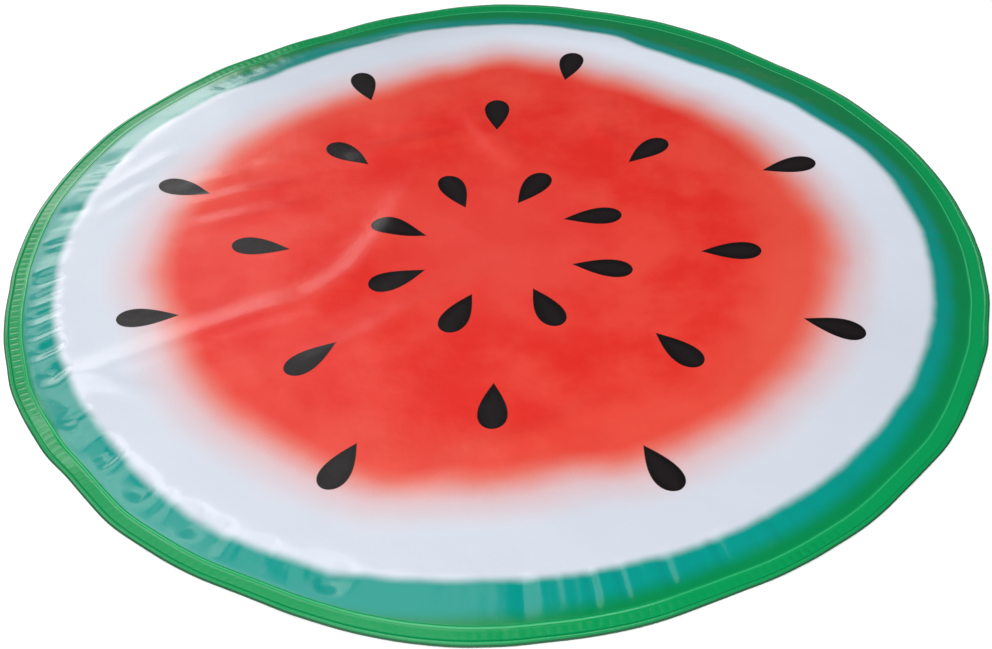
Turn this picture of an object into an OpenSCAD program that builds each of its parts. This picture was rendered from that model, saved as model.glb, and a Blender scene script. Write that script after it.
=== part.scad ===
// Round gel cooling pad, printed as a watermelon slice.
// Two discs of coated cloth are welded together round the rim, over a foam sheet and cooling gel.
// Sizes are in millimetres. The pad lies on Z = 0, and the origin is under the middle of the pad.

/* [Pad] */
// Diameter over the welded rim
pad_d = 600; // [560:10:900]
// Height of the filled middle, from the floor to the top cover's upper side
pad_h = 8; // [7:0.5:14]
// Width of the slope from the filled middle down to the weld
slope_w = 22; // [14:1:40]
// Thickness of each cover
cover_t = 0.5; // [0.4:0.1:0.8]

/* [Rim weld] */
// Width of the welded flange
weld_w = 12; // [9:0.5:20]
// Thickness of the fused layer between the covers in the pressed band
weld_t = 0.3; // [0.2:0.1:0.6]
// Width of the bead along the inner side of the pressed band
inner_bead_w = 2.4; // [1.5:0.1:3]
// Height of the inner bead above the pressed band
inner_bead_h = 0.6; // [0.3:0.1:1]
// Width of the bead along the outer edge
outer_bead_w = 3; // [1.5:0.1:4]
// Height of the outer bead above the pressed band
outer_bead_h = 0.3; // [0.2:0.1:0.6]
// Angle at which the filling gap starts, anticlockwise from +X
gap_start = 197; // [0:1:330]
// Angle that the filling gap covers
gap_angle = 20; // [10:1:30]

/* [Filling] */
// Thickness of the foam sheet
foam_t = 3; // [2:0.5:3.5]
// Distance from the foam sheet's edge to the weld
foam_inset = 26; // [20:1:60]

/* [Print] */
// Thickness of every ink layer
ink_t = 0.2; // [0.1:0.05:0.3]
// Diameter of the red flesh
flesh_d = 410; // [380:5:450]
// Width of the coloured rind, from the rim inwards
rind_w = 33; // [22:1:50]
// Length of a seed
seed_l = 38; // [20:1:40]
// Width of a seed
seed_w = 17.5; // [8:0.5:18]
// How fast a seed narrows towards its tip
seed_taper = 1.25; // [0.8:0.05:1.6]

/* [Hidden] */
$fn = 180;

// Each seed's distance from the centre, its angle, and the direction its round end points to
SEEDS = [
    [70, 22, 6], [66, 66, 58], [64, 113, 110], [65, 163, 158],
    [70, 207, 205], [71, 250, 244], [70, 295, 292], [72, 339, 348],
    [144, 43, 44], [147, 88, 88], [142, 133, 137], [148, 178, 169],
    [150, 223, 222], [147, 268, 267], [147, 315, 308], [148, 355, 359],
    [211, 21, 14], [215, 74, 76], [207, 115, 105], [214, 161, 158],
    [218, 196, 183], [209, 245, 244], [215, 293, 295], [216, 336, 333]
];

rim_r = pad_d / 2;
weld_r = rim_r - weld_w;
foam_r = weld_r - foam_inset;
rind_r = rim_r - rind_w;

// Heights of the undersides of the layers
inside_z = cover_t;
weld_z = cover_t + weld_t;
slope_foot_z = weld_z + inner_bead_h / 2;
crown_z = pad_h - cover_t;

// Horizontal run of each sloping side of a bead
bead_side = 0.6;
slope_steps = 8;

// A point of the slope, from its foot at step 0 to the flat crown at the last step
function slope_point(step) = let (turn = 90 * step / slope_steps) [
    weld_r - slope_w * (1 - cos(turn)),
    slope_foot_z + (crown_z - slope_foot_z) * sin(turn)
];

slope_line = [for (step = [0:slope_steps]) slope_point(step)];

// The top of the fused layer, from the rim in to the foot of the slope
weld_line = [
    [rim_r, weld_z],
    [rim_r - bead_side, weld_z + outer_bead_h],
    [rim_r - outer_bead_w + bead_side, weld_z + outer_bead_h],
    [rim_r - outer_bead_w, weld_z],
    [weld_r + inner_bead_w, weld_z],
    [weld_r + inner_bead_w - bead_side, weld_z + inner_bead_h],
    [weld_r + bead_side, weld_z + inner_bead_h]
];

// The underside of the top cover, from the rim in to the middle
cover_line = concat(weld_line, slope_line, [[0, crown_z]]);

function raised(line, rise) = [for (p = line) p + [0, rise]];
function backwards(line) = [for (i = [len(line) - 1:-1:0]) line[i]];

// The part of the slope outside the radius where the coloured rind starts
rind_steps = [for (p = slope_line) if (p[0] > rind_r) p];
rind_turn = acos(max(0, 1 - (weld_r - rind_r) / slope_w));
rind_start = [rind_r, slope_foot_z + (crown_z - slope_foot_z) * sin(rind_turn)];
rind_line = concat(weld_line, rind_steps, [rind_start]);

// Half of a seed's breadth at a turn round its outline, before it is scaled to size
function drop_breadth(turn) = sin(turn) * pow(sin(turn / 2), seed_taper);

drop_widest = max([for (turn = [0:180]) drop_breadth(turn)]);
seed_step = 12;

// A drop with its tip towards -X and its centre of area near the origin
seed_points = [for (turn = [0:seed_step:360 - seed_step]) [
    -seed_l * (cos(turn) / 2 + 0.08),
    seed_w / 2 * drop_breadth(turn) / drop_widest
]];

// A ring or disc whose section lies between a line and the same line raised
module layer(line, thickness) {
    rotate_extrude()
        polygon(concat(line, backwards(raised(line, thickness))));
}

// A stretch of the weld, from the bottom cover up to the weld line
module weld_arc(start, sweep) {
    rotate([0, 0, start])
        rotate_extrude(angle = sweep)
            polygon(concat([[weld_r, inside_z], [rim_r, inside_z]], weld_line, [slope_line[0]]));
}

module seed_outlines() {
    for (seed = SEEDS)
        rotate([0, 0, seed[1]])
            translate([seed[0], 0])
                rotate([0, 0, seed[2] - seed[1]])
                    polygon(seed_points);
}

// Lower disc of coated cloth, which lies on the floor
module bottom_cover() {
    color("darkgreen")
        cylinder(h = cover_t, r = rim_r);
}

// Thin open-cell sheet, flat on the bottom cover
module foam_sheet() {
    color("lightyellow")
        translate([0, 0, inside_z])
            cylinder(h = foam_t, r = foam_r);
}

// Cooling gel, which fills the pouch over and round the foam sheet
module gel_fill() {
    color("skyblue")
        rotate_extrude()
            polygon(concat(
                [[0, inside_z + foam_t], [foam_r, inside_z + foam_t], [foam_r, inside_z], [weld_r, inside_z]],
                slope_line,
                [[0, crown_z]]
            ));
}

// Fused ring between the covers, open at the filling gap
module rim_weld() {
    color("seagreen")
        weld_arc(gap_start + gap_angle, 360 - gap_angle);
}

// Second weld, which closes the filling gap
module filling_gap_weld() {
    color("mediumseagreen")
        weld_arc(gap_start, gap_angle);
}

// Upper disc of coated cloth, over the gel and down onto the weld
module top_cover() {
    color("ghostwhite")
        layer(cover_line, cover_t);
}

// Teal to green ink over the slope and the flange
module rind_print() {
    color("green")
        translate([0, 0, cover_t])
            layer(rind_line, ink_t);
}

// Red ink of the flesh, with the seeds left open
module flesh_print() {
    color("red")
        translate([0, 0, pad_h])
            linear_extrude(ink_t)
                difference() {
                    circle(d = flesh_d);
                    seed_outlines();
                }
}

// Black ink of the seeds
module seed_prints() {
    color("black")
        translate([0, 0, pad_h])
            linear_extrude(ink_t)
                seed_outlines();
}

bottom_cover();
foam_sheet();
gel_fill();
rim_weld();
filling_gap_weld();
top_cover();
rind_print();
flesh_print();
seed_prints();
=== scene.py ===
"""Visual model of a round gel cooling pad, printed as a watermelon slice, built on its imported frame."""
import math

import bpy
import numpy as np
from mathutils import Matrix, Vector


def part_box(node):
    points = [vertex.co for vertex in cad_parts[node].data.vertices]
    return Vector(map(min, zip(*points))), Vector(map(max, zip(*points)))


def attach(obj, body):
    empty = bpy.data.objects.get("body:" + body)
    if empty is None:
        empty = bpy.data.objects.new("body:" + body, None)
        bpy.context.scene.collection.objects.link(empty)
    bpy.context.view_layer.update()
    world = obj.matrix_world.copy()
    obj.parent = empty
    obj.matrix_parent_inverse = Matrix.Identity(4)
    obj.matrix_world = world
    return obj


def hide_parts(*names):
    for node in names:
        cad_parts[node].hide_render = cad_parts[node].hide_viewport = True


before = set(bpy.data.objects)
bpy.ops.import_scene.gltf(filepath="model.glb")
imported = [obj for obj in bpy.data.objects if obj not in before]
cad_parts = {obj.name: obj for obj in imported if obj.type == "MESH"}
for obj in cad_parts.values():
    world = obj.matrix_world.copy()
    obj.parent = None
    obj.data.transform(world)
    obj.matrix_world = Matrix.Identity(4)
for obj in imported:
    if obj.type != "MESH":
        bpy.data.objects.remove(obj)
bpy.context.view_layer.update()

# Lengths are in millimetres and angles in degrees, anticlockwise from +X, unless a comment says otherwise.
MM = 0.001


def node_box(node):
    """A CAD node's lowest and highest corners, in millimetres."""
    low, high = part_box(node)
    return [c / MM for c in low], [c / MM for c in high]


# Sizes that come from the frame
RIM_R = node_box("bottom_cover")[1][0]
WELD_R = node_box("gel_fill")[1][0]
COVER_T = node_box("bottom_cover")[1][2]
CROWN_Z = node_box("top_cover")[1][2]
FOAM_R, FOAM_TOP = node_box("foam_sheet")[1][0], node_box("foam_sheet")[1][2]
FLESH_R = node_box("flesh_print")[1][0]

# Sizes that the frame doesn't hold, as the CAD has them
WELD_T = 0.3
SLOPE_W = 22
SLOPE_TOP = WELD_R - SLOPE_W
RIND_W = 33
GAP_START, GAP_ANGLE = 197, 20
# Pressed ribs round the whole weld
RIB_COUNT = 360
# Radii at which the mesh of a cover or the gel becomes finer, outwards
INNER_R, MIDDLE_R, OUTER_R = 26, 60, 130
FINE_R = SLOPE_TOP - 2
# Edges that turn more than this are shaded as sharp
SHARP_ANGLE = 40

# Each printed seed's distance from the centre, its angle, and the direction its round end points to
SEEDS = [
    (70, 22, 6), (66, 66, 58), (64, 113, 110), (65, 163, 158),
    (70, 207, 205), (71, 250, 244), (70, 295, 292), (72, 339, 348),
    (144, 43, 44), (147, 88, 88), (142, 133, 137), (148, 178, 169),
    (150, 223, 222), (147, 268, 267), (147, 315, 308), (148, 355, 359),
    (211, 21, 14), (215, 74, 76), (207, 115, 105), (214, 161, 158),
    (218, 196, 183), (209, 245, 244), (215, 293, 295), (216, 336, 333),
]
SEED_L, SEED_W = 38, 17.5
# Half of a printed seed's soft edge, in seed lengths
SEED_SOFT = 0.008

# Where the rim is pushed out or in as the pad lies: angle, half width, distance outwards
RIM_BULGES = [(30, 10, -1.5), (45, 8, -3.6), (64, 6, 2.2), (78, 8, 4.8), (92, 8, 4.6), (119, 12, -6.2),
              (140, 8, -2.5), (182, 12, -1.2), (205, 4, 0.5), (218, 5, -2.5), (244, 5, -2), (265, 16, 5.3),
              (282, 5, 0.6), (291, 5, -1.5), (304, 5, -1.2), (315, 6, -1.8), (335, 15, -1.2)]
# Where the rim stands up off the floor: angle, half width, height
RIM_LIFTS = [(30, 10, 0.8), (66, 6, 1), (86, 9, 1.4), (104, 5, 0.8), (119, 4, 0.6), (150, 6, 0.4),
             (207, 3, 1), (249, 3, 0.5), (304, 5, 0.4), (345, 9, 0.4)]
# Where the foot of the slope stands up, so that the flange droops outwards: angle, half width, height
FOOT_LIFTS = [(168, 6, 1), (186, 5, 0.5), (211.5, 4.5, 2.8), (285, 8, 0.5)]
# Folds in the slope beside the weld: angle, half width, depth
PUCKERS = [(104, 3, 0.8), (130, 4, 1), (157, 2, 1.4), (169.5, 1.4, 1.2), (184, 0.8, 1.1), (187, 0.8, 1.2),
           (190.5, 0.9, 1.5), (194, 1, 1.8), (197.3, 1.3, 2.4), (201.8, 2, 3.4), (211, 0.8, 0.9),
           (218.5, 1.8, 2.8), (221.8, 0.7, 0.9), (225.5, 2.2, 3), (229.5, 0.7, 0.8), (233.6, 2.3, 3),
           (237.6, 1.3, 1.6), (244, 0.9, 0.7), (250.8, 2.3, 3), (271.5, 1, 1), (278.5, 0.6, 0.9),
           (281.7, 0.6, 1), (286.7, 0.7, 1.1), (293, 0.7, 0.7), (300, 0.8, 0.6), (313, 1.5, 0.6),
           (345, 2, 0.4), (21, 1.5, 0.4), (36, 1.5, 0.4), (58, 3, 0.5), (75, 2, 0.5), (92, 2.5, 0.6)]
# Folds with a half width above this reach over the top of the slope
WIDE_FOLD = 1.4
# Where the fine pleats of the slope are strong: angle, half width, height
PLEATS = [(118, 14, 0.12), (160, 10, 0.3), (186, 14, 0.45), (215, 14, 0.35), (244, 12, 0.25),
          (285, 16, 0.25)]
# Where the pressed ribs of the weld stand out: angle, half width, height
RIBS = [(118, 16, 0.05), (170, 12, 0.04), (197, 14, 0.1), (232, 20, 0.02), (296, 14, 0.04)]

# Ridges of the top cover over the gel: points along the crest, half width and height
CREASES = [
    ([(-262, -124), (-188, -86), (-150, -66), (-112, -50), (-86, -25), (-70, 8), (-58, 40), (-42, 84)],
     13, 2.4),
    ([(-116, -108), (-78, -86), (-50, -60), (-4, -28)], 11, 1.5),
    ([(-196, 48), (-160, 62), (-124, 69)], 7, 1.1),
    ([(-194, 74), (-158, 84)], 6, 0.8),
    ([(-156, 91), (-122, 100)], 7, 0.8),
    ([(-188, 27), (-150, 40), (-114, 45)], 8, 0.8),
    ([(-94, 94), (-60, 111), (-22, 121)], 9, 1.5),
    ([(-80, 133), (-30, 143)], 8, 1),
    ([(-16, 150), (2, 112), (15, 88)], 8, 1.5),
    ([(82, 156), (72, 127), (84, 100)], 7, 1.1),
    ([(99, 104), (102, 50), (96, 2)], 14, 0.9),
    ([(-50, -208), (-12, -179), (20, -168), (66, -140)], 9, 1.6),
    ([(-142, -107), (-127, -129)], 6, 0.5),
    ([(-122, -127), (-107, -148)], 6, 0.5),
    ([(206, 32), (213, -20), (201, -70), (178, -116)], 20, 1.2),
    ([(-256, 62), (-212, 108)], 5, 1.2),
    ([(-249, 42), (-224, 74)], 5, 0.9),
    ([(-248, -104), (-196, -128)], 6, 1.1),
    ([(-268, -124), (-238, -112), (-206, -96)], 8, 0.8),
]


# ---------------------------------------------------------------- shape of the pad

def bump(angle, centre, half_width):
    """1 at the centre angle, falling smoothly to 0 on both sides."""
    turn = (angle - centre + 180) % 360 - 180
    return np.exp(-(turn / half_width) ** 2)


def ease(value, low, high):
    """0 at low, 1 at high, with a smooth start and end."""
    t = np.clip((value - low) / (high - low), 0, 1)
    return t * t * (3 - 2 * t)


def value_noise(x, y, cell, seed):
    """Smooth noise from -1 to 1 over the plane, with features about one cell across."""
    grid = np.random.default_rng(seed).uniform(-1, 1, (64, 64))
    u, v = np.asarray(x) / cell + 1000, np.asarray(y) / cell + 1000
    i, j = np.floor(u).astype(int), np.floor(v).astype(int)
    fu, fv = u - i, v - j
    fu, fv = fu * fu * (3 - 2 * fu), fv * fv * (3 - 2 * fv)
    corner = [[grid[(i + a) % 64, (j + b) % 64] for b in (0, 1)] for a in (0, 1)]
    low = corner[0][0] * (1 - fv) + corner[0][1] * fv
    high = corner[1][0] * (1 - fv) + corner[1][1] * fv
    return low * (1 - fu) + high * fu


def rim_ripple(angle):
    """The small waves of the flange, which follow no rule on a real pad."""
    turn = np.radians(angle)
    long_waves = 0.2 * np.sin(17 * turn + 1.1) * np.sin(5 * turn)
    short_waves = 0.15 * np.sin(31 * turn + 0.4) * np.cos(3 * turn + 1)
    return long_waves + short_waves


def lie(r, angle, z):
    """Where a point of the flat, round pad is as the pad lies, as x, y, z."""
    outward = sum(size * bump(angle, centre, width) for centre, width, size in RIM_BULGES)
    outward = outward + 0.5 * value_noise(np.radians(angle) * RIM_R, 0, 22, 31)
    lift = sum(size * bump(angle, centre, width) for centre, width, size in RIM_LIFTS)
    lift = np.maximum(lift + rim_ripple(angle), 0)
    foot = sum(size * bump(angle, centre, width) for centre, width, size in FOOT_LIFTS)
    foot = foot * ease(r, WELD_R - 14, WELD_R) * (1 - ease(r, WELD_R, RIM_R))
    share = np.clip(r / RIM_R, 0, 1.01)
    distance = r + outward * share ** 5
    turn = np.radians(angle)
    return np.stack([
        distance * np.cos(turn), distance * np.sin(turn), z + foot + lift * ease(r, SLOPE_TOP, RIM_R)
    ], axis=-1)


def top_height(r, angle):
    """Height of the printed surface over the floor, before the rim is lifted."""
    band_z = 2 * COVER_T + WELD_T
    bead_h = 0.4
    foot_z = band_z + bead_h
    # The slope is wider at the back, where the pad lies slack
    slope_w = SLOPE_W + 2 + 20 * bump(angle, 80, 60)
    climb = np.clip((WELD_R - r) / slope_w, 0, 1)
    slope = foot_z + (CROWN_Z - foot_z) * climb * (1 + climb - climb ** 2)
    outer_bead = 0.35 * ease(r, RIM_R - 3.6, RIM_R - 2.4)
    rounded_edge = 0.55 * ease(r, RIM_R - 2, RIM_R)
    inner_bead = bead_h * (1 - ease(r, WELD_R + 1, WELD_R + 3.4))
    ribs = sum(height * bump(angle, centre, width) for centre, width, height in RIBS) + 0.02
    ribs = ribs * (1 - np.sin(np.radians(angle) * RIB_COUNT))
    ribs = ribs * ease(r, WELD_R + 2.8, WELD_R + 3.8) * (1 - ease(r, RIM_R - 4.6, RIM_R - 3.4))
    flange = band_z + outer_bead - rounded_edge + inner_bead + ribs
    z = np.where(r > WELD_R, flange, slope)
    # Narrow folds and pleats keep to the slope, and wide folds start a little further in
    on_slope = ease(r, SLOPE_TOP - 4, SLOPE_TOP + 5) * (1 - ease(r, WELD_R - 9, WELD_R - 0.5))
    in_fold = ease(r, WELD_R - 27, WELD_R - 13) * (1 - ease(r, WELD_R - 13, WELD_R - 1))
    for centre, width, depth in PUCKERS:
        z = z - depth * bump(angle, centre, width) * (in_fold if width > WIDE_FOLD else on_slope)
    on_slope = on_slope * (1 - 0.7 * bump(angle, 70, 60))
    pleats = sum(height * bump(angle, centre, width) for centre, width, height in PLEATS) + 0.06
    ring = np.radians(angle) * WELD_R
    z = z + pleats * value_noise(ring, 0.12 * r, 4.5, 21) * on_slope
    z = z + 0.5 * value_noise(ring, 0.3 * r, 16, 22) * on_slope
    z = z + wrinkles(r, angle) * (1 - ease(r, SLOPE_TOP - 14, WELD_R - 8))
    return np.maximum(z, 2 * COVER_T + 0.1)


def creases(x, y):
    """Height of the placed ridges, which fall away at both ends."""
    z = np.zeros_like(x)
    for line, half_width, height in CREASES:
        nearest, along, length = np.full_like(x, 1e9), np.zeros_like(x), 0
        for (ax, ay), (bx, by) in zip(line, line[1:]):
            run = math.hypot(bx - ax, by - ay)
            t = np.clip(((x - ax) * (bx - ax) + (y - ay) * (by - ay)) / run ** 2, 0, 1)
            away = np.hypot(x - ax - t * (bx - ax), y - ay - t * (by - ay))
            along = np.where(away < nearest, length + t * run, along)
            nearest = np.minimum(nearest, away)
            length += run
        share = along / length
        z = z + height * np.sqrt(4 * share * (1 - share) + 0.05) * np.exp(-(nearest / half_width) ** 2)
    return z


# The cloth simulation runs at ten times the real size, where the solver's distances suit it
CLOTH_SCALE = 10 * MM
CLOTH_CELL = 4
CLOTH_REACH = 276
CLOTH_FRAMES = 20
# The creases lie mostly along this direction, because the cover has slack across it
SLACK_TURN = math.radians(32)
# How far over the gel the cover starts, and how much lower the settled heights are then taken
CLOTH_RISE, CLOTH_DROP = 0.6, 0.4


def slack(x, y):
    """How far the cover is drawn together in the plane, most of all on the left."""
    across = -x * math.sin(SLACK_TURN) + y * math.cos(SLACK_TURN)
    shift = -across * (0.004 + 0.012 / (1 + np.exp((x + 20) / 50)))
    return -shift * math.sin(SLACK_TURN), shift * math.cos(SLACK_TURN)


def settle_cover():
    """A square grid of heights of the top cover over the gel, settled as cloth."""
    n = CLOTH_REACH // CLOTH_CELL
    steps = np.arange(-n, n + 1) * CLOTH_CELL
    gx, gy = np.meshgrid(steps.astype(float), steps.astype(float), indexing="ij")
    uneven = 0.2 * (value_noise(gx, gy, 26, 11) + value_noise(gx, gy, 60, 12))
    start = creases(gx, gy) + uneven + CLOTH_RISE
    inside = np.hypot(gx, gy) <= CLOTH_REACH
    index = np.full(gx.shape, -1)
    index[inside] = np.arange(inside.sum())
    corners = [index[:-1, :-1], index[1:, :-1], index[1:, 1:], index[:-1, 1:]]
    whole = np.all([c >= 0 for c in corners], axis=0)
    x, y = gx[inside], gy[inside]
    dx, dy = slack(x, y)
    mesh = bpy.data.meshes.new("settling_cover")
    points = np.stack([x + dx, y + dy, start[inside]], axis=1) * CLOTH_SCALE
    mesh.from_pydata(points.tolist(), [], np.stack([c[whole] for c in corners], axis=1).tolist())
    cover = bpy.data.objects.new("settling_cover", mesh)
    cover.shape_key_add(name="Basis")
    flat = cover.shape_key_add(name="flat")
    flat.data.foreach_set("co", (np.stack([x, y, np.zeros_like(x)], axis=1) * CLOTH_SCALE).ravel())
    held = cover.vertex_groups.new(name="held")
    rim = np.nonzero(np.hypot(x, y) > CLOTH_REACH - 1.5 * CLOTH_CELL)[0]
    held.add(rim.tolist(), 1, "REPLACE")
    # A plane stands for the gel, and this is half of its width in the simulation's metres
    half = 4
    table_mesh = bpy.data.meshes.new("settling_gel")
    table_corners = [(-half, -half, 0), (half, -half, 0), (half, half, 0), (-half, half, 0)]
    table_mesh.from_pydata(table_corners, [], [(0, 1, 2, 3)])
    table = bpy.data.objects.new("settling_gel", table_mesh)
    for thing in (cover, table):
        bpy.context.scene.collection.objects.link(thing)
    table.modifiers.new("Collision", "COLLISION")
    table.collision.thickness_outer = 0.001
    table.collision.cloth_friction = 0
    cloth = cover.modifiers.new("Cloth", "CLOTH")
    cloth.settings.vertex_group_mass = "held"
    cloth.settings.rest_shape_key = flat
    cloth.settings.quality = 5
    cloth.settings.mass = 0.3
    cloth.settings.tension_stiffness = cloth.settings.compression_stiffness = 600
    cloth.settings.shear_stiffness = 300
    cloth.settings.bending_stiffness = 30
    cloth.settings.tension_damping = cloth.settings.compression_damping = cloth.settings.shear_damping = 15
    cloth.settings.bending_damping = 0.5
    cloth.settings.air_damping = 3
    cloth.settings.effector_weights.gravity = 0.02
    cloth.collision_settings.use_self_collision = False
    cloth.collision_settings.distance_min = 0.001
    cloth.point_cache.frame_start, cloth.point_cache.frame_end = 1, CLOTH_FRAMES
    for frame_number in range(1, CLOTH_FRAMES + 1):
        bpy.context.scene.frame_set(frame_number)
    settled = cover.evaluated_get(bpy.context.evaluated_depsgraph_get()).data
    found = np.empty(len(x) * 3)
    settled.vertices.foreach_get("co", found)
    heights = start.copy()
    heights[inside] = found.reshape(-1, 3)[:, 2] / CLOTH_SCALE
    for thing in (cover, table):
        bpy.data.objects.remove(thing)
    bpy.context.scene.frame_set(1)
    return heights - CLOTH_DROP


HEIGHTS = settle_cover()


def wrinkles(r, angle):
    """The settled cover's height, read smoothly between the points of its grid."""
    turn = np.radians(angle)
    edge = HEIGHTS.shape[0] // 2
    reach = (edge - 2) * CLOTH_CELL
    r = np.minimum(r, reach)
    u, v = r * np.cos(turn) / CLOTH_CELL + edge, r * np.sin(turn) / CLOTH_CELL + edge
    i, j = np.floor(u).astype(int), np.floor(v).astype(int)

    def weights(f):
        return [(1 - f) ** 3 / 6, (3 * f ** 3 - 6 * f ** 2 + 4) / 6,
                (-3 * f ** 3 + 3 * f ** 2 + 3 * f + 1) / 6, f ** 3 / 6]

    return sum(wu * wv * HEIGHTS[i + a - 1, j + b - 1]
               for a, wu in enumerate(weights(u - i)) for b, wv in enumerate(weights(v - j)))


# ---------------------------------------------------------------- meshes

def lay_out_flat(piece, flat_points):
    """A UV map that says where each point is on the flat, round cover, from 0 to 1 over its diameter."""
    layer = piece.data.uv_layers.new(name="flat")
    corners = np.empty(len(piece.data.loops), dtype=np.int32)
    piece.data.loops.foreach_get("vertex_index", corners)
    layer.data.foreach_set("uv", (0.5 + flat_points[corners] / (2 * RIM_R)).ravel())


def flat_stations(stations):
    """The points of the stations before they are laid, as x and y."""
    points = []
    for radius, count, _ in stations:
        turn = np.arange(count) * math.tau / count
        points.append(np.stack([radius * np.cos(turn), radius * np.sin(turn)], axis=1))
    return np.concatenate(points + [np.zeros((2, 2))])


def make_piece(name, points, faces, material, nodes):
    """A mesh object from points in millimetres, which rides on the pad and stands for its CAD nodes."""
    mesh = bpy.data.meshes.new(name)
    mesh.from_pydata((np.asarray(points) * MM).tolist(), [], faces)
    mesh.validate()
    mesh.shade_smooth()
    mesh.set_sharp_from_angle(angle=math.radians(SHARP_ANGLE))
    mesh.materials.append(material)
    piece = bpy.data.objects.new(name, mesh)
    bpy.context.scene.collection.objects.link(piece)
    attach(piece, "root")
    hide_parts(*nodes)
    return piece


def join_rings(first, n_first, second, n_second):
    """Faces between two rings of points, where one ring has 1, 2 or 3 times as many points as the other."""
    if n_first < n_second:
        return [face[::-1] for face in join_rings(second, n_second, first, n_first)]
    ratio = n_first // n_second
    faces = []
    for i in range(n_second):
        fine = [first + (ratio * i + k) % n_first for k in range(ratio + 1)]
        a, b = second + i, second + (i + 1) % n_second
        if ratio == 1:
            faces.append((fine[0], fine[1], b, a))
        elif ratio == 2:
            faces += [(fine[0], fine[1], a), (fine[1], b, a), (fine[1], fine[2], b)]
        else:
            faces += [(fine[0], fine[1], a), (fine[1], fine[2], b, a), (fine[2], fine[3], b)]
    return faces


def revolve(stations):
    """A closed solid from the middle of its underside, out, and back in over its top.

    A station is a radius, how many points go round it, and a function that gives its height from the
    radius and the angle.
    """
    points, faces, starts = [], [], []
    for radius, count, height in stations:
        angle = np.arange(count) * 360 / count
        r = np.full(count, float(radius))
        starts.append(sum(len(p) for p in points))
        points.append(lie(r, angle, height(r, angle)))
    for k in range(len(stations) - 1):
        faces += join_rings(starts[k], stations[k][1], starts[k + 1], stations[k + 1][1])
    total = sum(len(p) for p in points)
    zero = np.zeros(1)
    for k, turn in ((0, 1), (len(stations) - 1, -1)):
        points.append(lie(zero, zero, stations[k][2](zero, zero)))
        ring = [starts[k] + i for i in range(stations[k][1])]
        for i in range(len(ring)):
            pair = (ring[i], ring[(i + 1) % len(ring)])
            faces.append((total, *pair[::-turn]))
        total += 1
    return np.concatenate(points), faces


def rows(start, stop, spacing, count, height):
    """Stations evenly spaced from one radius towards another, which is left out."""
    steps = max(1, round(abs(stop - start) / spacing))
    return [(start + (stop - start) * i / steps, count, height) for i in range(steps)]


# ---------------------------------------------------------------- materials

class Graph:
    """A material's nodes. An input is a number, a colour, a vector or another node's output."""

    def __init__(self, name):
        self.material = bpy.data.materials.new(name)
        self.material.use_nodes = True
        self.tree = self.material.node_tree
        self.tree.nodes.clear()
        self.shader = self.add("ShaderNodeBsdfPrincipled")
        output = self.add("ShaderNodeOutputMaterial")
        self.tree.links.new(self.shader.outputs[0], output.inputs[0])
        metres = self.add("ShaderNodeTexCoord").outputs["Object"]
        self.place = self.vector("SCALE", metres, scale=1 / MM)
        self.x, self.y, _ = self.split(self.place)

    def add(self, kind, **settings):
        node = self.tree.nodes.new(kind)
        for key, value in settings.items():
            setattr(node, key, value)
        return node

    def feed(self, socket, value):
        if isinstance(value, bpy.types.NodeSocket):
            self.tree.links.new(value, socket)
        else:
            socket.default_value = value

    def set(self, **values):
        for key, value in values.items():
            self.feed(self.shader.inputs[key.replace("_", " ")], value)

    def math(self, operation, *values):
        node = self.add("ShaderNodeMath", operation=operation)
        for socket, value in zip(node.inputs, values):
            self.feed(socket, value)
        return node.outputs[0]

    def vector(self, operation, *values, scale=None):
        node = self.add("ShaderNodeVectorMath", operation=operation)
        for socket, value in zip(node.inputs, values):
            self.feed(socket, value)
        if scale is not None:
            node.inputs["Scale"].default_value = scale
        return node.outputs["Vector"]

    def split(self, vector):
        node = self.add("ShaderNodeSeparateXYZ")
        self.feed(node.inputs[0], vector)
        return node.outputs

    def smooth(self, value, low, high, to_low=0.0, to_high=1.0):
        node = self.add("ShaderNodeMapRange", interpolation_type="SMOOTHSTEP")
        for key, entry in (("Value", value), ("From Min", low), ("From Max", high), ("To Min", to_low),
                           ("To Max", to_high)):
            self.feed(node.inputs[key], entry)
        return node.outputs[0]

    def mix(self, factor, first, second, blend="MIX"):
        node = self.add("ShaderNodeMix", data_type="RGBA", blend_type=blend)
        self.feed(node.inputs[0], factor)
        self.feed(node.inputs[6], first)
        self.feed(node.inputs[7], second)
        return node.outputs[2]

    def noise(self, size, detail, roughness=0.5, place=None):
        """Noise from 0 to 1 with features about size across."""
        node = self.add("ShaderNodeTexNoise")
        self.feed(node.inputs["Vector"], self.place if place is None else place)
        node.inputs["Scale"].default_value = 1 / size
        node.inputs["Detail"].default_value = detail
        node.inputs["Roughness"].default_value = roughness
        return node.outputs["Fac"]

    def ramp(self, value, stops):
        """Colours from a list of (position, colour), eased from each to the next."""
        node = self.add("ShaderNodeValToRGB")
        node.color_ramp.interpolation = "EASE"
        elements = node.color_ramp.elements
        elements[0].position, elements[0].color = stops[0][0], stops[0][1]
        elements[1].position, elements[1].color = stops[-1][0], stops[-1][1]
        for position, colour in stops[1:-1]:
            elements.new(position).color = colour
        self.feed(node.inputs[0], value)
        return node.outputs[0]

    def bump(self, height, depth, below=None):
        """A bump as deep as depth millimetres where height goes from 0 to 1."""
        node = self.add("ShaderNodeBump")
        node.inputs["Distance"].default_value = depth * MM
        self.feed(node.inputs["Height"], height)
        if below is not None:
            self.feed(node.inputs["Normal"], below)
        return node.outputs[0]


def weave(graph):
    """The cloth's weave, from -1 to 1."""
    pitch = 0.9
    warp = graph.math("SINE", graph.math("MULTIPLY", graph.x, math.tau / pitch))
    weft = graph.math("SINE", graph.math("MULTIPLY", graph.y, math.tau / pitch))
    return graph.math("MULTIPLY", warp, weft)


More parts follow.
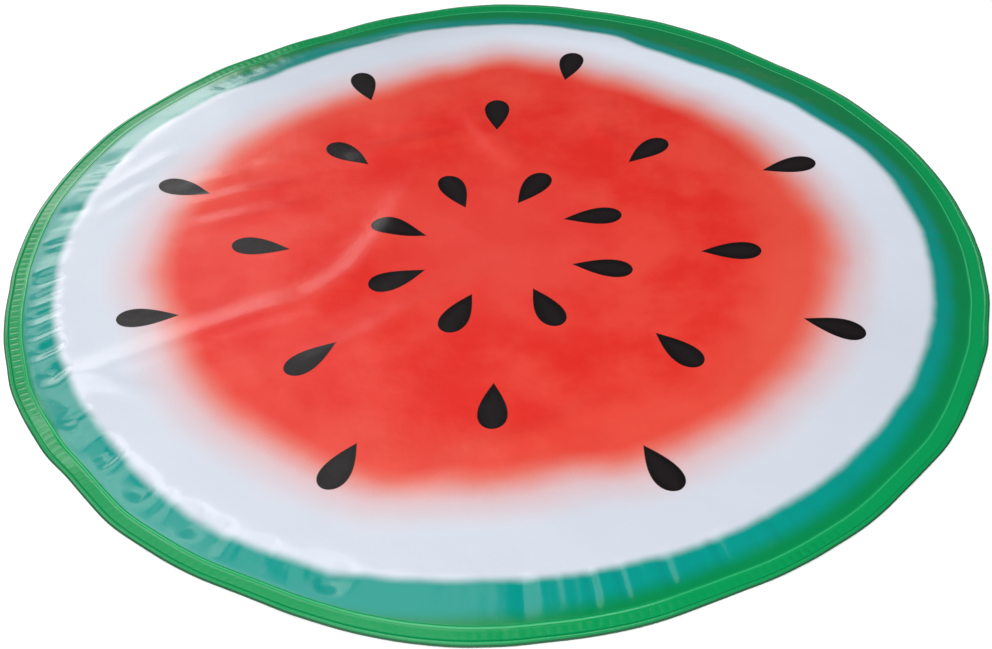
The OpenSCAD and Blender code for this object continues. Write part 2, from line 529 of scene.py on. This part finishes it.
def rgb(red, green, blue):
    """A linear colour from sRGB bytes."""
    def linear(byte):
        c = byte / 255
        return c / 12.92 if c <= 0.04045 else ((c + 0.055) / 1.055) ** 2.4
    return (linear(red), linear(green), linear(blue), 1)


def by_angle(graph, points, reach):
    """A value that changes smoothly round the pad.

    Points are (angle, value), with angles from 0 to 360 and values from -reach to reach.
    """
    turn = graph.math("ARCTAN2", graph.y, graph.x)
    share = graph.math("FRACT", graph.math("ADD", graph.math("DIVIDE", turn, math.tau), 1.0))
    stops = []
    for angle, value in points:
        grey = 0.5 + 0.5 * value / reach
        stops.append((angle / 360, (grey, grey, grey, 1)))
    grey = graph.ramp(share, stops)
    return graph.math("MULTIPLY", graph.math("SUBTRACT", grey, 0.5), 2 * reach)


def seed_group():
    """How far a point in a seed's own axes is outside its outline, in seed lengths."""
    group = bpy.data.node_groups.new("seed_outline", "ShaderNodeTree")
    group.interface.new_socket("Vector", in_out="INPUT", socket_type="NodeSocketVector")
    group.interface.new_socket("Outside", in_out="OUTPUT", socket_type="NodeSocketFloat")
    nodes, links = group.nodes, group.links

    def math_node(operation, first, second=0.0):
        node = nodes.new("ShaderNodeMath")
        node.operation = operation
        for socket, value in zip(node.inputs, (first, second)):
            if isinstance(value, bpy.types.NodeSocket):
                links.new(value, socket)
            else:
                socket.default_value = value
        return node.outputs[0]

    start, end = nodes.new("NodeGroupInput"), nodes.new("NodeGroupOutput")
    axes = nodes.new("ShaderNodeSeparateXYZ")
    links.new(start.outputs[0], axes.inputs[0])
    # Half of the breadth is a power of the distance from the tip, times a root of the distance to the
    # round end
    tip, taper, widest = 0.58, 1.125, 1.363
    along = math_node("ADD", axes.outputs[0], tip)
    along = math_node("MINIMUM", math_node("MAXIMUM", along, 0.0), 1.0)
    narrow = math_node("POWER", along, taper)
    blunt = math_node("SQRT", math_node("SUBTRACT", 1.0, along))
    breadth = math_node("MULTIPLY", math_node("MULTIPLY", narrow, blunt), widest * SEED_W / SEED_L)
    outside = math_node("SUBTRACT", math_node("ABSOLUTE", axes.outputs[1]), breadth)
    links.new(math_node("ADD", outside, SEED_SOFT), end.inputs[0])
    return group


def seed_distance(graph, place):
    """How far each point is outside the nearest printed seed, in seed lengths."""
    group = seed_group()
    nearest = None
    for distance, angle, heading in SEEDS:
        turn = math.radians(angle)
        mapping = graph.add("ShaderNodeMapping", vector_type="TEXTURE")
        graph.feed(mapping.inputs["Vector"], place)
        mapping.inputs["Location"].default_value = (distance * math.cos(turn), distance * math.sin(turn), 0)
        mapping.inputs["Rotation"].default_value = (0, 0, math.radians(heading))
        mapping.inputs["Scale"].default_value = (SEED_L, SEED_L, SEED_L)
        shape = graph.add("ShaderNodeGroup", node_tree=group)
        graph.feed(shape.inputs[0], mapping.outputs[0])
        nearest = shape.outputs[0] if nearest is None else graph.math("MINIMUM", nearest, shape.outputs[0])
    return nearest


def length_of(graph, x, y):
    """The distance of x, y from the middle."""
    return graph.math("SQRT", graph.math("ADD", graph.math("MULTIPLY", x, x), graph.math("MULTIPLY", y, y)))


def swing(graph, size, amount, place):
    """Noise that swings a length by up to half of amount either way."""
    centred = graph.math("SUBTRACT", graph.noise(size, 2, place=place), 0.5)
    return graph.math("MULTIPLY", centred, amount)


def band(graph, value, low, high, soft):
    """1 between low and high, with soft edges that lie inside them."""
    past_low = graph.smooth(value, low, low + soft)
    before_high = graph.smooth(value, high, high - soft)
    return graph.math("MULTIPLY", past_low, before_high)


def flesh_over_white(graph, place, radius):
    """Red flesh, sprayed so that it fades out over the white rind."""
    flesh_reach = by_angle(graph, [
        (0, 2), (20, -4), (45, -4), (54, -7), (66, -2), (78, 5), (87, 10), (98, -2), (110, -9), (124, -8),
        (150, -3), (185, 2), (200, -3), (214, 2), (230, 2), (250, 7), (265, -2), (280, -8), (290, -3),
        (318, -2), (335, -2), (360, 2)], 20)
    wander = swing(graph, 45, 9, place)
    grain = swing(graph, 0.7, 7, place)
    beyond = graph.math("SUBTRACT", radius, graph.math("ADD", flesh_reach, FLESH_R))
    beyond = graph.math("ADD", graph.math("ADD", beyond, wander), grain)
    fade = graph.math("DIVIDE", graph.math("ADD", beyond, 30), 60)
    mottle = graph.smooth(graph.noise(60, 4, 0.55, place=place), 0.34, 0.66)
    flesh = graph.mix(mottle, rgb(213, 39, 31), rgb(220, 64, 52))
    flesh = graph.mix(graph.smooth(radius, 10, 110, 0.6, 0.0), flesh, rgb(217, 70, 62))
    paler = by_angle(graph, [
        (0, 0.6), (20, 0.5), (45, 0), (120, 0.4), (150, 0.3), (200, 0), (270, 0.4), (310, 0.4), (335, 0.7),
        (360, 0.6)], 1)
    paler = graph.math("MULTIPLY", paler, graph.smooth(radius, 150, 185))
    flesh = graph.mix(paler, flesh, rgb(219, 86, 68))
    white = graph.mix(graph.noise(70, 3, place=place), rgb(194, 200, 211), rgb(202, 207, 217))
    # Painted light: the white is made lighter over the back right of the pad
    painted_light_back_right = by_angle(graph, [(0, 0.4), (30, 1), (75, 1), (110, 0.1), (150, 0), (330, 0), (360, 0.4)], 1)
    white = graph.mix(painted_light_back_right, white, rgb(212, 219, 230))
    base = graph.mix(graph.smooth(fade, 0.26, 0.56), flesh, rgb(216, 118, 106))
    base = graph.mix(graph.smooth(fade, 0.42, 0.78), base, rgb(209, 176, 180))
    return graph.mix(graph.smooth(fade, 0.6, 1.12), base, white)


def rind_edge(graph, place, radius):
    """How far a point is outside the wavy edge where the coloured rind starts."""
    rind_reach = by_angle(graph, [
        (0, -2), (18, -3), (32, -11), (43, -15), (55, -17), (62, -14), (70, -3), (84, 2), (100, -1),
        (110, -9), (127, -13), (138, -4), (150, 1), (185, 2), (215, 1), (235, 6), (252, 6), (270, 2),
        (300, 0), (330, -1), (360, -2)], 20)
    edge = graph.math("ADD", rind_reach, RIM_R - RIND_W)
    return graph.math("ADD", graph.math("SUBTRACT", radius, edge), swing(graph, 25, 3, place))


def rind_colour(graph, past, rim_radius):
    """Teal that turns green towards the weld, and the green flange."""
    green_reach = by_angle(graph, [
        (0, 0), (85, 0), (112, 5), (128, 9), (150, 9), (230, 9), (262, 8), (292, 2), (330, 0),
        (360, 0)], 20)
    greener = graph.smooth(graph.math("SUBTRACT", past, green_reach), 6, 17)
    rind = graph.mix(greener, rgb(0, 138, 127), rgb(0, 126, 70))
    rind = graph.mix(graph.smooth(rim_radius, WELD_R - 0.5, WELD_R + 1), rind, rgb(0, 143, 78))
    # Painted shade: the rind and the flange are made darker round the back of the pad
    painted_back_shade = by_angle(graph, [
        (0, 0.2), (40, 0.8), (90, 1), (150, 0.9), (200, 0.5), (225, 0), (330, 0), (360, 0.2)], 1)
    return graph.mix(painted_back_shade, rind, (0.88, 0.88, 0.88, 1), "MULTIPLY")


def rib_grooves(graph, place, rim_radius, turn):
    """The grooves between the pressed ribs of the weld, which show in places only."""
    between_beads = band(graph, rim_radius, WELD_R + 3.2, RIM_R - 3.6, 0.6)
    wave = graph.math("SINE", graph.math("MULTIPLY", turn, RIB_COUNT))
    show = by_angle(graph, [
        (0, 0.05), (60, 0.05), (118, 0.3), (150, 0.12), (178, 0.4), (212, 0.5), (224, 0.15), (260, 0.02),
        (280, 0.05), (296, 0.25), (312, 0.05), (360, 0.05)], 1)
    # Noise that makes the grooves, and the painted shade in them, stronger in patches
    groove_patches = graph.smooth(graph.noise(28, 3, place=place), 0.35, 0.6, 0.3, 1.0)
    groove = graph.math("MULTIPLY", between_beads, graph.smooth(wave, -0.2, 0.5))
    return graph.math("MULTIPLY", graph.math("MULTIPLY", groove, groove_patches), show)


def print_material():
    """The printed, glossy film over the cloth of the top cover."""
    graph = Graph("printed_film")
    place = graph.vector("MULTIPLY", graph.place, (1, 1, 0))
    radius = length_of(graph, graph.x, graph.y)
    # Radius and direction on the flat cover, which the weld's pattern follows
    flat_map = graph.add("ShaderNodeUVMap", uv_map="flat").outputs[0]
    across, up, _ = graph.split(graph.vector("SUBTRACT", flat_map, (0.5, 0.5, 0)))
    rim_radius = graph.math("MULTIPLY", length_of(graph, across, up), 2 * RIM_R)
    # Colours
    past = rind_edge(graph, place, radius)
    groove = rib_grooves(graph, place, rim_radius, graph.math("ARCTAN2", up, across))
    inner_bead = band(graph, rim_radius, WELD_R + 0.5, WELD_R + 2.3, 0.8)
    outer_bead = band(graph, rim_radius, RIM_R - 3.4, RIM_R - 1.6, 0.8)
    # Painted shade: the rind is darker green in the grooves between the ribs
    rind = graph.mix(groove, rind_colour(graph, past, rim_radius), rgb(0, 104, 54))
    # Painted highlight: a pale green line along the inner bead
    rind = graph.mix(graph.math("MULTIPLY", inner_bead, 0.7), rind, rgb(44, 178, 112))
    rind = graph.mix(graph.smooth(rim_radius, RIM_R - 1.3, RIM_R - 0.5), rind, rgb(0, 78, 42))
    base = graph.mix(graph.smooth(past, -3.5, 3.5), flesh_over_white(graph, place, radius), rind)
    outside_seed = seed_distance(graph, graph.place)
    seed_tone = graph.mix(graph.smooth(outside_seed, -0.16, -0.02), rgb(24, 18, 20), rgb(12, 8, 10))
    base = graph.mix(graph.smooth(outside_seed, SEED_SOFT, -SEED_SOFT), base, seed_tone)
    graph.set(Base_Color=base)
    # Gloss, which is greatest on the slope and least on the cut edge
    roughness = graph.smooth(graph.noise(35, 3, place=place), 0.3, 0.7, 0.2, 0.27)
    gloss = graph.smooth(rim_radius, SLOPE_TOP - 6, SLOPE_TOP, 0, 0.07)
    cut_edge = graph.smooth(rim_radius, RIM_R - 1.6, RIM_R - 0.8, 0.1, 0.6)
    roughness = graph.math("MAXIMUM", graph.math("SUBTRACT", roughness, gloss), cut_edge)
    graph.set(Roughness=roughness, IOR=1.5, Specular_IOR_Level=0.34, Coat_Weight=0.12, Coat_Roughness=0.08)
    # The film's fine unevenness, the weave under it, and the weld's pattern
    normal = graph.bump(graph.noise(9, 4, 0.6), 0.18)
    normal = graph.bump(weave(graph), 0.006, normal)
    normal = graph.bump(groove, -0.2, normal)
    normal = graph.bump(graph.math("MAXIMUM", inner_bead, outer_bead), 0.35, normal)
    graph.set(Normal=normal)
    return graph.material


def coated_cloth_material():
    """Plain green coated cloth of the bottom cover, with its weave showing."""
    graph = Graph("green_coated_cloth")
    mottle = graph.noise(30, 4)
    graph.set(Base_Color=graph.mix(mottle, rgb(0, 84, 50), rgb(4, 98, 60)))
    graph.set(Roughness=graph.smooth(graph.noise(5, 3), 0.3, 0.7, 0.52, 0.66), Specular_IOR_Level=0.3)
    graph.set(Normal=graph.bump(weave(graph), 0.05, graph.bump(graph.noise(14, 3), 0.3)))
    return graph.material


def weld_material():
    """The two coatings, melted into one green layer."""
    graph = Graph("fused_coating")
    graph.set(Base_Color=graph.mix(graph.noise(8, 3), rgb(0, 96, 58), rgb(0, 126, 76)))
    graph.set(Roughness=graph.smooth(graph.noise(3, 3), 0.3, 0.7, 0.2, 0.38))
    graph.set(Normal=graph.bump(graph.noise(2, 3), 0.08))
    return graph.material


def gel_material():
    """Clear blue gel with small bubbles."""
    graph = Graph("cooling_gel")
    bubbles = graph.smooth(graph.noise(2.5, 1), 0.62, 0.7)
    tint = graph.mix(graph.noise(40, 3), rgb(120, 190, 226), rgb(150, 208, 236))
    graph.set(Base_Color=graph.mix(bubbles, tint, rgb(226, 240, 248)))
    graph.set(Transmission_Weight=0.5, IOR=1.36)
    graph.set(Roughness=graph.smooth(graph.noise(6, 2), 0.3, 0.7, 0.06, 0.18))
    graph.set(Normal=graph.bump(graph.noise(4, 3), 0.3))
    return graph.material


def foam_material():
    """Pale open-cell foam."""
    graph = Graph("open_cell_foam")
    cell_size = 1.2
    cells = graph.add("ShaderNodeTexVoronoi", feature="DISTANCE_TO_EDGE")
    graph.feed(cells.inputs["Vector"], graph.place)
    cells.inputs["Scale"].default_value = 1 / cell_size
    wall = graph.smooth(cells.outputs["Distance"], 0.02, 0.16)
    # Painted shade: the hollows of the cells are darker than their walls
    graph.set(Base_Color=graph.mix(wall, rgb(240, 234, 208), rgb(206, 196, 160)))
    graph.set(Roughness=graph.smooth(graph.noise(7, 2), 0.2, 0.8, 0.8, 0.95))
    graph.set(Normal=graph.bump(wall, -0.5))
    return graph.material


def floor_material():
    """Almost white, with a faint glow."""
    graph = Graph("pale_floor")
    graph.set(Base_Color=graph.mix(graph.noise(300, 2), rgb(250, 250, 251), rgb(252, 252, 253)))
    graph.set(Roughness=0.9, Emission_Color=(1, 1, 1, 1), Emission_Strength=0.12)
    return graph.material


# ---------------------------------------------------------------- pieces

def under_height(r, angle):
    """The underside lies on the floor."""
    return np.zeros_like(r)


def above(height, rise):
    """A height function, raised."""
    return lambda r, angle: height(r, angle) + rise


def build_top_cover():
    inside = above(top_height, -COVER_T)
    # The inner side, outwards
    stations = rows(12, 120, 9, 90, inside) + rows(120, FINE_R, 7, 180, inside)
    stations += rows(FINE_R, WELD_R, 3, 360, inside) + rows(WELD_R, RIM_R - 0.4, 1.3, 720, inside)
    # The cut edge
    stations += [(RIM_R - 0.4, 1440, inside), (RIM_R - 0.1, 1440, above(inside, 0.02))]
    stations += [(RIM_R, 1440, above(inside, 0.12)), (RIM_R, 1440, above(top_height, -0.2))]
    stations += [(RIM_R - 0.15, 1440, above(top_height, -0.06))]
    # The printed side, inwards
    stations += rows(RIM_R - 0.5, WELD_R, 0.62, 1440, top_height)
    stations += rows(WELD_R, FINE_R, 1.9, 1440, top_height)
    stations += rows(FINE_R, OUTER_R, 2.2, 720, top_height)
    stations += rows(OUTER_R, MIDDLE_R, 2, 360, top_height) + rows(MIDDLE_R, INNER_R, 2, 180, top_height)
    stations += rows(INNER_R, 4, 2, 90, top_height)
    points, faces = revolve(stations)
    piece = make_piece("top_cover_cloth", points, faces, print_material(),
                       ["top_cover", "rind_print", "flesh_print", "seed_prints"])
    lay_out_flat(piece, flat_stations(stations))
    return piece


def build_bottom_cover():
    under, over = under_height, above(under_height, COVER_T)
    stations = rows(12, 100, 8, 60, under) + rows(100, FINE_R, 7, 180, under)
    stations += rows(FINE_R, RIM_R - 0.6, 3, 360, under) + [(RIM_R - 0.6, 720, under)]
    stations += [(RIM_R - 0.3, 720, above(under, 0.12)), (RIM_R - 0.3, 720, above(over, -0.1))]
    stations += [(RIM_R - 0.4, 720, over)]
    stations += rows(RIM_R - 3, FINE_R, 3, 360, over)
    stations += rows(FINE_R, 100, 7, 180, over) + rows(100, 4, 8, 60, over)
    points, faces = revolve(stations)
    return make_piece("bottom_cover_cloth", points, faces, coated_cloth_material(),
                      ["bottom_cover"])


def build_weld(name, node, start, sweep, material):
    """A stretch of the fused layer between the covers, with a closed end at each end."""
    gap = 0.01
    over = above(top_height, -COVER_T - gap)
    underside_z = COVER_T + gap
    radii = np.concatenate([[WELD_R + 0.1], np.arange(WELD_R + 0.8, RIM_R - 1.2, 0.7), [RIM_R - 0.9]])
    count = round(sweep * 4) + 1
    angles = start + np.linspace(0, sweep, count)
    loop = [(r, False) for r in radii] + [(r, True) for r in radii[::-1]]
    points, faces = [], []
    for r, upper in loop:
        ring = np.full(count, r)
        z = over(ring, angles) if upper else np.full(count, underside_z)
        points.append(lie(ring, angles, z))
    m = len(loop)
    for k in range(m):
        for i in range(count - 1):
            a, b = k * count + i, ((k + 1) % m) * count + i
            faces.append((a, b, b + 1, a + 1))
    faces.append([k * count for k in range(m)][::-1])
    faces.append([k * count + count - 1 for k in range(m)])
    return make_piece(name, np.concatenate(points), faces, material, [node])


def build_gel():
    gap = 0.05
    over = above(top_height, -COVER_T - gap)

    def under(r, angle):
        drop = ease(r, FOAM_R + 2, FOAM_R + 0.5)
        return COVER_T + gap + (FOAM_TOP - COVER_T) * drop

    stations = rows(12, 120, 9, 90, under) + rows(120, FOAM_R - 4, 8, 180, under)
    stations += rows(FOAM_R - 4, WELD_R - 0.5, 1.5, 360, under)
    stations += rows(WELD_R - 0.5, OUTER_R, 4, 360, over) + rows(OUTER_R, MIDDLE_R, 4, 180, over)
    stations += rows(MIDDLE_R, 6, 5, 90, over)
    points, faces = revolve(stations)
    return make_piece("cooling_gel", points, faces, gel_material(), ["gel_fill"])


def build_foam():
    gap = 0.03
    low = above(under_height, COVER_T + gap)

    def over(r, angle):
        turn = np.radians(angle)
        return FOAM_TOP - gap - 0.12 * (1 + value_noise(r * np.cos(turn), r * np.sin(turn), 6, 8))

    stations = rows(12, 120, 9, 90, low) + rows(120, FOAM_R - 0.5, 6, 180, low) + [(FOAM_R - 0.5, 360, low)]
    stations += [(FOAM_R, 360, above(low, 0.5)), (FOAM_R, 360, above(over, -0.5))]
    stations += [(FOAM_R - 0.5, 360, over)]
    stations += rows(FOAM_R - 3, 120, 3, 360, over) + rows(120, 60, 3, 180, over) + rows(60, 6, 4, 90, over)
    points, faces = revolve(stations)
    return make_piece("open_cell_foam", points, faces, foam_material(), ["foam_sheet"])


# ---------------------------------------------------------------- camera, light and floor

def build_camera():
    target = Vector((-1.3, -66.6, 0)) * MM
    distance = 966.6 * MM
    elevation, azimuth, roll = math.radians(40.79), math.radians(-0.69), math.radians(-1.23)
    back = Vector((math.sin(azimuth) * math.cos(elevation), -math.cos(azimuth) * math.cos(elevation),
                   math.sin(elevation)))
    right = Vector((0, 0, 1)).cross(back).normalized()
    up = back.cross(right)
    turned_right = math.cos(roll) * right + math.sin(roll) * up
    turned_up = math.cos(roll) * up - math.sin(roll) * right
    camera = bpy.data.objects.new("camera", bpy.data.cameras.new("camera"))
    axes = Matrix((turned_right, turned_up, back)).transposed().to_4x4()
    camera.matrix_world = Matrix.Translation(target + back * distance) @ axes
    camera.data.lens, camera.data.sensor_width = 59.25, 36
    camera.data.clip_start = 0.05
    bpy.context.scene.collection.objects.link(camera)
    bpy.context.scene.camera = camera


# How far every light is from the middle of the pad, in metres
LIGHT_DISTANCE = 2.4


def area_light(name, azimuth, elevation, width, height, power):
    """A rectangular soft light that faces the pad, in metres and watts.

    Azimuth 0 is behind the pad, and positive is to the left.
    """
    turn, rise = math.radians(azimuth), math.radians(elevation)
    towards = Vector((-math.sin(turn) * math.cos(rise), math.cos(turn) * math.cos(rise), math.sin(rise)))
    data = bpy.data.lights.new(name, "AREA")
    data.shape, data.size, data.size_y, data.energy = "RECTANGLE", width, height, power
    light = bpy.data.objects.new(name, data)
    light.location = towards * LIGHT_DISTANCE
    light.rotation_euler = towards.to_track_quat("Z", "Y").to_euler()
    bpy.context.scene.collection.objects.link(light)


def build_studio():
    # A little lower than the underside, so that the two faces are never in one plane
    bpy.ops.mesh.primitive_plane_add(size=30, location=(0, 0, -0.3 * MM))
    floor = bpy.context.object
    floor.name = "floor"
    floor.data.materials.append(floor_material())
    world = bpy.data.worlds.new("studio")
    world.use_nodes = True
    background = world.node_tree.nodes["Background"]
    background.inputs["Color"].default_value = (0.96, 0.98, 1, 1)
    background.inputs["Strength"].default_value = 0.1
    bpy.context.scene.world = world
    bpy.context.scene.view_settings.view_transform = "Standard"
    area_light("window_left", 56, 44, 0.82, 1.25, 10)
    area_light("window_edge", 28, 44, 1.3, 2.0, 4.5)
    area_light("window_foot", 28, 25, 1.0, 0.6, 4)
    area_light("low_left", 36, 10, 1.7, 0.7, 12)
    area_light("overhead_left", 90, 77, 3.0, 1.25, 20)
    area_light("front_fill", 180, 45, 2.6, 1.6, 58)
    area_light("right_fill", -110, 45, 1.2, 1.2, 3)


build_camera()
top_cover = build_top_cover()
bottom_cover = build_bottom_cover()
fused = weld_material()
build_weld("rim_weld_band", "rim_weld", GAP_START + GAP_ANGLE, 360 - GAP_ANGLE, fused)
build_weld("filling_gap_band", "filling_gap_weld", GAP_START, GAP_ANGLE, fused)
gel = build_gel()
foam = build_foam()
build_studio()
